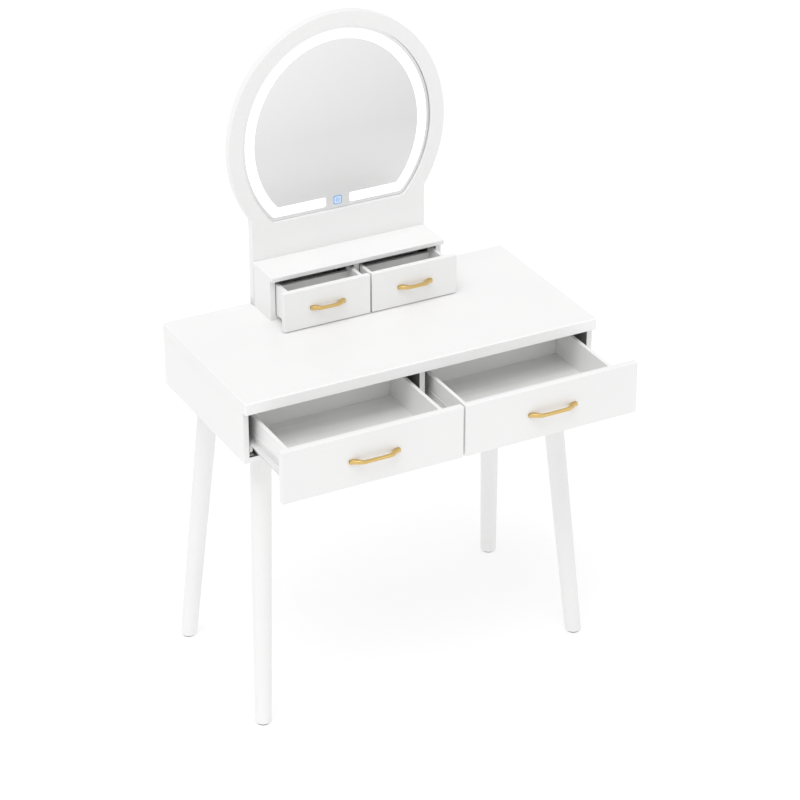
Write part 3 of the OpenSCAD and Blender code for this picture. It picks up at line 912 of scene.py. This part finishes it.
@dataclass
class Legs(SubAssembly):
    """Four turned, tapered legs on steel plates, with a glide under each."""

    foot_edge: float = 3.0 * MM
    top_edge: float = 0.8 * MM
    segments: int = 56

    def build(self) -> None:
        """Makes every piece of the sub-assembly."""
        for place in ("front_left", "front_right", "rear_left", "rear_right"):
            node = f"leg_{place}"
            put(f"{node}_made", self.leg(node), LACQUER, "table", [node])
        glides = Shape()
        for box in self.packed.solids("foot_glides"):
            glides.add(self.glide(box))
        put("foot_glides_made", glides, RUBBER, "table", ["foot_glides"])
        for node in ("leg_plates", "leg_bolts"):
            dress(self.packed.nodes[node], STEEL, 0.3 * MM if node == "leg_plates" else 0.0)
        self.screws("wood_screws", "table", ScrewHead.COUNTERSUNK, 3.8 * MM, 2.0 * MM)

    def leg(self, node: str) -> Shape:
        """A leg with a rounded foot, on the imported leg's own axis.

        Args:
            node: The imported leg.

        Returns:
            The closed shape.
        """
        points = self.packed.points(node)
        ends = []
        for z in (points[:, 2].min(), points[:, 2].max()):
            ring = points[abs(points[:, 2] - z) < 0.1 * MM]
            radius = float(np.ptp(ring[:, :2], axis=0).mean()) / 2
            ends.append((Vector((ring.min(0) + ring.max(0)) / 2), radius))
        (foot, foot_r), (top, top_r) = ends
        height = top.z - foot.z
        below = [(rise, inset, 1.0) for inset, rise in quarter_round(self.foot_edge)]
        above = [(height - rise, inset, 1.0) for inset, rise in reversed(quarter_round(self.top_edge))]
        between = [(height * i / 10, 0.0, 0.0) for i in range(1, 10)]
        near = [(2 * self.foot_edge, 0.0, 0.0)]
        rows, edge = [], []
        for rise, inset, worn in [*below, *near, *between, *above]:
            share = rise / height
            radius = foot_r + (top_r - foot_r) * share - inset
            middle = foot.lerp(top, share)
            turns = [math.tau * j / self.segments for j in range(self.segments)]
            rows.append([middle + Vector((math.cos(t), math.sin(t), 0)) * radius for t in turns])
            edge.append(worn)
        shape = skin(rows, edge)
        last = (len(rows) - 1) * self.segments
        fan(shape, range(self.segments), foot)
        fan(shape, range(last, last + self.segments), top)
        return shape

    def glide(self, box: Box) -> Shape:
        """A nail-on glide with a softened rim."""
        r, h = box.size.x / 2, box.size.z
        base = Vector((box.centre.x, box.centre.y, box.low.z))
        profile = [(0.0, 0.0), (0.86 * r, 0.0), (0.95 * r, 0.1 * h), (0.985 * r, 0.3 * h), (r, 0.6 * h)]
        return turned([*profile, (0.99 * r, h), (0.5 * r, h), (0.0, h)], base, Way.UP, 40)


@dataclass
class Rollers(SubAssembly):
    """A drawer's roller slides: painted steel rails and nylon rollers."""

    side: Side
    flat: float = 0.25 * MM
    bore_r: float = 2.6 * MM
    hub_r: float = 4.5 * MM
    tread_t: float = 2.2 * MM
    web_in: float = 1.1 * MM

    def build(self) -> None:
        """Makes every piece of the sub-assembly."""
        for end in ("front", "rear"):
            node = f"{self.side.word}_{end}_rollers"
            shape = Shape()
            for box in self.packed.solids(node):
                shape.add(self.roller(box))
            put(f"{node}_made", shape, NYLON, node, [node])
        dress(self.packed.nodes[f"{self.side.word}_drawer_rails"], RAIL_PAINT, self.flat)

    def roller(self, box: Box) -> Shape:
        """A roller with a web between its hub and its tread.

        Args:
            box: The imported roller's box.

        Returns:
            The closed shape.
        """
        r, w = box.size.z / 2, box.size.x
        hub, rim, web = self.hub_r, r - self.tread_t, self.web_in
        half = [(self.bore_r, 0.0), (hub, 0.0), (hub + 0.1 * MM, web), (rim, web), (rim + 0.2 * MM, 0.0)]
        half += [(r - 0.7 * MM, 0.0), (r - 0.2 * MM, 0.2 * MM), (r, 0.7 * MM)]
        base = Vector((box.low.x, box.centre.y, box.centre.z))
        return turned([*half, *[(radius, w - h) for radius, h in reversed(half)]], base, Way.RIGHT, 48)


@dataclass
class BowHandle:
    """A bowed bar on two sloping feet, fixed by two screws."""

    box: Box
    pitch: float
    bar_t: float = 5 * MM
    tip_t: float = 5 * MM
    bow: float = 1 * MM
    screw_r: float = 2 * MM
    foot_run: float = 1.5
    waist: float = 0.76
    stations: int = 72
    around: int = 20

    @staticmethod
    def line(x: float, reach: float, low: float, high: float, run: float, bow: float) -> float:
        """Distance of one of the bar's lines from the drawer front.

        Args:
            x: Distance from the handle's middle.
            reach: Where the line starts.
            low: Its distance there.
            high: Its distance at the middle.
            run: Length over which it climbs.
            bow: How much the middle bows outwards.

        Returns:
            The distance at x.
        """
        u = min(max((reach - abs(x)) / run, 0.0), 1.0)
        return low + (high - low - bow * (x / reach) ** 2) * u * u * (3 - 2 * u)

    def shape(self) -> Shape:
        """The handle's closed shape."""
        middle, face, out = self.box.centre, self.box.high.y, self.box.size.y
        tip, heel = self.box.size.x / 2, self.pitch / 2 - 2 * self.screw_r
        spots = [math.sin(math.pi / 2 * (2 * i / self.stations - 1)) for i in range(self.stations + 1)]
        stations = []
        for share in spots:
            outer = self.line(share * tip, tip, self.tip_t, out, self.foot_run * out, self.bow)
            inner = self.line(share * heel, heel, 0.0, out - self.bar_t, out, self.bow)
            stations.append((share, Vector((share * tip, -outer, 0)), Vector((share * heel, -inner, 0))))
        first, last = stations[0], stations[-1]
        stations.insert(0, (-1.0, Vector((-tip, -0.02 * MM, 0)), first[2]))
        stations.append((1.0, Vector((tip, -0.02 * MM, 0)), last[2]))
        rows, edge = [], []
        for share, outer, inner in stations:
            flare = self.waist + (1 - self.waist) * abs(share) ** 3
            row = []
            for j in range(self.around):
                turn = math.tau * (j + 0.5) / self.around
                thick = math.copysign(abs(math.cos(turn)) ** 0.45, math.cos(turn))
                tall = math.copysign(abs(math.sin(turn)) ** 0.45, math.sin(turn))
                spot = inner.lerp(outer, 0.5 + 0.5 * thick)
                row.append(Vector((middle.x, face, middle.z + tall * flare * self.box.size.z / 2)) + spot)
            rows.append(row)
            edge.append(1.0 if abs(share) > 0.93 else 0.0)
        shape = skin(rows, edge)
        count = self.around
        for ring in (range(count), range((len(rows) - 1) * count, len(rows) * count)):
            fan(shape, ring, sum((shape.points[i] for i in ring), Vector()) / count)
        return shape


@dataclass
class Drawer(SubAssembly):
    """A drawer of boards with a gold handle on its front."""

    side: Side
    front_edge: float
    board_edge: float
    base_edge: float = 0.4 * MM
    screw_head_r: float = 4.0 * MM
    screw_head_t: float = 2.5 * MM

    def assemble(self, name: str, body: str, walls: Iterable[str]) -> None:
        """Makes the boards, the handle and its screws.

        Args:
            name: The start of the drawer's node names.
            body: The body that carries it.
            walls: The ends of its wall nodes' names.
        """
        self.boards(body, self.front_edge, [f"{name}_front"])
        self.boards(body, self.board_edge, [f"{name}_{wall}" for wall in walls])
        self.boards(body, self.base_edge, [f"{name}_base"], LINING)
        screws = self.packed.solids(f"{name}_screws")
        pitch = screws[-1].centre.x - screws[0].centre.x
        handle = BowHandle(Box.of(f"{name}_handle"), pitch)
        put(f"{name}_handle_made", handle.shape(), GOLD, body, [f"{name}_handle"])
        self.screws(f"{name}_screws", body, ScrewHead.PAN, self.screw_head_r, self.screw_head_t)


@dataclass
class LargeDrawer(Drawer):
    """A wide drawer on roller slides."""

    front_edge: float = 1.4 * MM
    board_edge: float = 0.8 * MM

    def build(self) -> None:
        """Makes every piece of the sub-assembly."""
        name = f"{self.side.word}_drawer"
        self.assemble(name, name, ("side_l", "side_r", "back"))


@dataclass
class SmallDrawer(Drawer):
    """A small drawer of the hutch, sliding on its own bottom."""

    front_edge: float = 1.2 * MM
    board_edge: float = 0.7 * MM

    def build(self) -> None:
        """Makes every piece of the sub-assembly."""
        name = f"small_{self.side.word}"
        self.assemble(name, f"{name}_drawer", ("sides", "back"))


@dataclass
class Hutch(SubAssembly):
    """The low case on the table top that holds the two small drawers."""

    top_edge: float = 1.3 * MM
    board_edge: float = 0.8 * MM

    def build(self) -> None:
        """Makes every piece of the sub-assembly."""
        # The faces inside the hutch get painted shade, a dark grey finish.
        painted_shade_room = self.painted_shade_room("hutch_left_side", "hutch_right_side", "hutch_bottom", "hutch_top")
        self.boards("table", self.top_edge, ["hutch_top"], accent=painted_shade_room)
        nodes = ["hutch_bottom", "hutch_left_side", "hutch_right_side", "hutch_divider"]
        self.boards("table", self.board_edge, nodes, accent=painted_shade_room)


@dataclass(frozen=True)
class MirrorLines:
    """The outlines of the mirror and its board, each drawn from its lower middle round to it again."""

    centre_z: float
    half_w: float
    half_h: float
    flat: float
    rim: float
    neck: float
    neck_foot: float
    corner_r: float = 12 * MM
    low_steps: int = 18
    arc_steps: int = 120

    @staticmethod
    def read(packed: Packed, clear: float) -> "MirrorLines":
        """The outlines' sizes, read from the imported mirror.

        Args:
            packed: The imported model.
            clear: The gap between the glass and its board.

        Returns:
            The outlines.
        """
        board, glass = Box.of("mirror_board"), Box.of("mirror_glass")
        points = packed.points("mirror_board")
        widest = points[points[:, 0] > board.high.x - 0.01 * MM]
        centre_z = float(widest[:, 2].mean())
        lowest = points[points[:, 2] < board.low.z + 0.01 * MM]
        half_w = glass.high.x + clear
        half_h = glass.high.z + clear - centre_z
        flat = centre_z - (glass.low.z - clear)
        return MirrorLines(
            centre_z, half_w, half_h, flat, board.high.x - half_w, float(lowest[:, 0].max()), board.low.z
        )

    def arc(self, half_w: float, half_h: float, start: float) -> list[Point]:
        """Points of an oval from an angle on the right over its top to the left."""
        turns = [start + (math.pi - 2 * start) * i / self.arc_steps for i in range(self.arc_steps + 1)]
        return [(half_w * math.cos(t), self.centre_z + half_h * math.sin(t)) for t in turns]

    @staticmethod
    def whole(half: list[Point], arc: list[Point]) -> list[Point]:
        """A line round from its lower right half and the arc over it, open if it starts off the middle."""
        left = half[1:] if half[0][0] == 0 else half
        return half + arc + [(-x, z) for x, z in reversed(left)]

    def mirror(self, grow: float, gap: float = 0.0) -> list[Point]:
        """The mirror's outline, grown on every side.

        Args:
            grow: How far it is grown, or shrunk if negative.
            gap: Width of an opening at its lower middle.

        Returns:
            Its points, seen from the front.
        """
        half_w, half_h, low = self.half_w + grow, self.half_h + grow, self.flat + grow
        r = self.corner_r
        middle_z = r - low
        middle_x = (half_w - r) * math.sqrt(1 - (middle_z / (half_h - r)) ** 2)
        steep = math.atan2(middle_z / (half_h - r) ** 2, middle_x / (half_w - r) ** 2)
        bends = [-math.pi / 2 + (steep + math.pi / 2) * i / 8 for i in range(9)]
        corner = [(middle_x + r * math.cos(b), self.centre_z + middle_z + r * math.sin(b)) for b in bends]
        flats = self.low_steps - len(corner)
        floor = [(gap / 2 + (middle_x - gap / 2) * i / flats, self.centre_z - low) for i in range(flats)]
        join_x, join_z = middle_x + r * math.cos(steep), middle_z + r * math.sin(steep)
        start = math.atan2(join_z / half_h, join_x / half_w)
        return self.whole([*floor, *corner[:-1]], self.arc(half_w, half_h, start))

    def board(self, grow: float) -> list[Point]:
        """The board's keyhole outline, grown on every side, with as many points as the mirror's."""
        half_w, half_h = self.half_w + self.rim + grow, self.half_h + self.rim + grow
        neck, foot = self.neck + grow, self.neck_foot - grow
        start = -math.acos(neck / half_w)
        join = self.centre_z + half_h * math.sin(start)
        across = (self.low_steps - 1) // 2
        up = self.low_steps - 1 - across
        half = [(neck * i / across, foot) for i in range(across)]
        half += [(neck, foot + (join - foot) * i / up) for i in range(up)]
        return self.whole(half, self.arc(half_w, half_h, start))


@dataclass
class LitMirror(SubAssembly):
    """The keyhole board with its mirror, light band, touch mark and rear cover."""

    clear: float = 0.5 * MM
    board_edge: float = 1.3 * MM
    opening_edge: float = 1.0 * MM
    band_inset: float = 0.15 * MM
    band_end: float = 4.0 * MM
    mark_t: float = 0.35 * MM

    def build(self) -> None:
        """Makes every piece of the sub-assembly."""
        lines = MirrorLines.read(self.packed, self.clear)
        glass = Box.of("mirror_glass")
        put("mirror_board_made", self.board(lines), LACQUER, "table", ["mirror_board"])
        # The glass gets a painted reflection, brighter towards its left and its ends.
        painted_light_silvering = SilveringPaintedLight("silvered_glass_painted_light", "mirror", middle_z=lines.centre_z, reach=lines.half_h)
        dress(self.packed.nodes["mirror_glass"], painted_light_silvering)
        put("light_band_made", self.band(lines), BAND, "table", ["light_band"])
        self.touch_mark(glass.low.y)
        dress(self.packed.nodes["led_strip"], LED)
        dress(self.packed.nodes["rear_cover"], COVER, 0.7 * MM)
        dress(self.packed.nodes["power_socket"], SOCKET, 0.3 * MM)
        self.screws("cover_screws", "table", ScrewHead.PAN, 3.0 * MM, 1.4 * MM)

    def board(self, lines: MirrorLines) -> Shape:
        """The keyhole board, with a stepped opening that takes the glass and the cover.

        Args:
            lines: The outlines.

        Returns:
            The closed shape.
        """
        board, cover = Box.of("mirror_board"), Box.of("rear_cover")
        front, back = board.low.y, board.high.y
        lap = cover.high.x - lines.half_w + self.clear
        near = 2.5 * MM
        ease, lip = self.board_edge, self.opening_edge
        plan: list[tuple[list[Point], float, float]] = [(lines.board(-ease - near), front, 0.0)]
        plan += [(lines.board(-inset), front + rise, 1.0) for inset, rise in quarter_round(ease)]
        plan += [(lines.board(0.0), front + ease + near, 0.0), (lines.board(0.0), back - ease - near, 0.0)]
        plan += [(lines.board(-inset), back - rise, 1.0) for inset, rise in reversed(quarter_round(ease))]
        plan += [(lines.board(-ease - near), back, 0.0), (lines.mirror(lap), back, 0.0)]
        plan += [(lines.mirror(lap), cover.low.y, 0.0), (lines.mirror(0.0), cover.low.y, 0.0)]
        plan += [(lines.mirror(inset), front + rise, 1.0) for inset, rise in reversed(quarter_round(lip))]
        plan += [(lines.mirror(lip + near), front, 0.0)]
        rows = [[Vector((x, y, z)) for x, z in line] for line, y, _ in plan]
        return skin(rows, [worn for _, _, worn in plan], round_rows=True)

    def band(self, lines: MirrorLines) -> Shape:
        """The frosted light band in its groove in the glass.

        Args:
            lines: The outlines.

        Returns:
            The closed shape.
        """
        box, points = Box.of("light_band"), self.packed.points("light_band")
        low = points[points[:, 2] < lines.centre_z]
        end = np.abs(low[:, 0]).min()
        tips = low[np.abs(low[:, 0]) < end + 0.01 * MM]
        width = float(np.ptp(tips[:, 2]))
        outer = box.high.x - lines.half_w
        gap = 2 * (float(end) + self.band_inset)
        edges = []
        for grow, inwards in ((outer - self.band_inset, 1), (outer - width + self.band_inset, -1)):
            line = lines.mirror(grow, gap)
            x, z = line[0]
            tip = [(x + rise, z + inwards * inset) for inset, rise in quarter_round(self.band_end)]
            edges.append([*tip, *line[1:-1], *[(-a, b) for a, b in reversed(tip)]])
        return ribbon(*edges, box.low.y - 0.05 * MM, box.size.y, False, 0.4 * MM)

    def touch_mark(self, front: float) -> None:
        """The lit mark of the touch switch: a ring and a stroke in a round-cornered field.

        Args:
            front: The front plane of the glass.
        """
        switch = Box.of("touch_switch")
        x, z, half = switch.centre.x, switch.centre.z, switch.size.x / 2
        plane = front - self.mark_t

        def square(size: float) -> list[Point]:
            corner = 0.42 * size
            turns = [math.tau * (i + 0.5) / 48 for i in range(48)]
            reach = size - corner
            return [
                (
                    x + math.copysign(reach, math.cos(t)) + corner * math.cos(t),
                    z + math.copysign(reach, math.sin(t)) + corner * math.sin(t),
                )
                for t in turns
            ]

        def arc(radius: float, start: float, steps: int = 28) -> list[Point]:
            turns = [start + (math.tau - 2 * (start - math.pi / 2)) * i / steps for i in range(steps + 1)]
            return [(x + radius * math.cos(t), z + radius * math.sin(t)) for t in turns]

        field_line = square(0.84 * half)
        field_shape = ribbon(field_line, square(0.02 * half), plane + 0.1 * MM, 0.2 * MM, True, 0.05 * MM)
        put("touch_field_made", field_shape, TOUCH_FIELD, "table", ["touch_switch"])
        rim = ribbon(square(half), square(0.84 * half), plane, self.mark_t, True, 0.08 * MM)
        put("touch_rim_made", rim, TOUCH, "table")
        opening = math.pi / 2 + math.radians(38)
        outer, inner = arc(0.46 * half, opening), arc(0.32 * half, opening)
        sign = ribbon(outer, inner, plane, self.mark_t, False, 0.06 * MM)
        bar_w = 0.08 * half
        bar_line = [z + half * share for share in (0.0, 0.2, 0.4, 0.55)]
        sign.add(
            ribbon(
                [(x + bar_w, level) for level in bar_line],
                [(x - bar_w, level) for level in bar_line],
                plane,
                self.mark_t,
                False,
                0.06 * MM,
            )
        )
        put("touch_sign_made", sign, TOUCH, "table")


# ---------------------------------------------------------------- studio


@dataclass
class Studio:
    """A plain pale floor, soft light and the camera."""

    floor_half: float = 40.0
    sky: float = 0.78
    sun: float = 1.12
    sun_way: Colour = (0.32, 0.28, -1.0)
    sun_spread: float = 38.0
    floor_glow: float = 0.64
    azimuth: float = -27.85
    elevation: float = 28.54
    distance: float = 5.872
    lens: float = 128.28
    aim_height: float = 0.6186
    aim_behind_front: float = 0.1118

    def build(self) -> None:
        """Makes the floor, the lights and the camera."""
        self.floor()
        self.lights()
        self.camera()

    def floor(self) -> None:
        """The floor, which isn't part of the table, and glows a little so that shadows stay faint."""
        half = self.floor_half
        mesh = bpy.data.meshes.new("floor")
        corners = [(-half, -half, 0), (half, -half, 0), (half, half, 0), (-half, half, 0)]
        mesh.from_pydata(corners, [], [(0, 1, 2, 3)])
        recipe = Recipe("pale_floor")
        recipe.feed(recipe.mixed(recipe.noise(2.0, 3.0), grey(0.37), grey(0.39)))
        recipe.fix(Roughness=0.8, Specular_IOR_Level=0.2, Emission_Strength=self.floor_glow)
        mesh.materials.append(recipe.material)
        floor = bpy.data.objects.new("floor", mesh)
        bpy.context.scene.collection.objects.link(floor)

    def lights(self) -> None:
        """A white surround and one broad, soft light from above, a little from the left in front."""
        scene = bpy.context.scene
        scene.view_settings.view_transform = "Standard"
        world = bpy.data.worlds.new("surround")
        world.use_nodes = True
        world.node_tree.nodes["Background"].inputs["Color"].default_value = (1.0, 1.0, 1.0, 1.0)
        world.node_tree.nodes["Background"].inputs["Strength"].default_value = self.sky
        scene.world = world
        sun = bpy.data.lights.new("broad_light", "SUN")
        sun.energy = self.sun
        sun.angle = math.radians(self.sun_spread)
        lamp = bpy.data.objects.new("broad_light", sun)
        lamp.rotation_mode = "QUATERNION"
        lamp.rotation_quaternion = Vector(self.sun_way).to_track_quat("-Z", "Y")
        scene.collection.objects.link(lamp)

    def camera(self) -> None:
        """The camera, aimed at the middle of the table."""
        turn, tilt = math.radians(self.azimuth), math.radians(self.elevation)
        away = Vector((math.sin(turn) * math.cos(tilt), -math.cos(turn) * math.cos(tilt), math.sin(tilt)))
        top = Box.of("table_top")
        aim = Vector((top.centre.x, top.low.y + self.aim_behind_front, self.aim_height))
        data = bpy.data.cameras.new("view")
        data.sensor_width = 36.0
        data.lens = self.lens
        view = bpy.data.objects.new("view", data)
        view.location = aim + away * self.distance
        view.rotation_mode = "QUATERNION"
        view.rotation_quaternion = (-away).to_track_quat("-Z", "Y")
        bpy.context.scene.collection.objects.link(view)
        bpy.context.scene.camera = view


def main() -> None:
    """Builds the studio and every sub-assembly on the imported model."""
    logging.basicConfig(level=logging.INFO, format="%(name)s: %(message)s")
    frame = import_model()
    packed = Packed(frame["nodes"])
    Studio().build()
    parts: list[SubAssembly] = [Carcass(packed), Legs(packed)]
    for side in Side:
        parts += [Rollers(packed, side), LargeDrawer(packed, side), SmallDrawer(packed, side)]
    parts += [Hutch(packed), LitMirror(packed)]
    for part in parts:
        part.build()


if __name__ == "__main__":
    main()
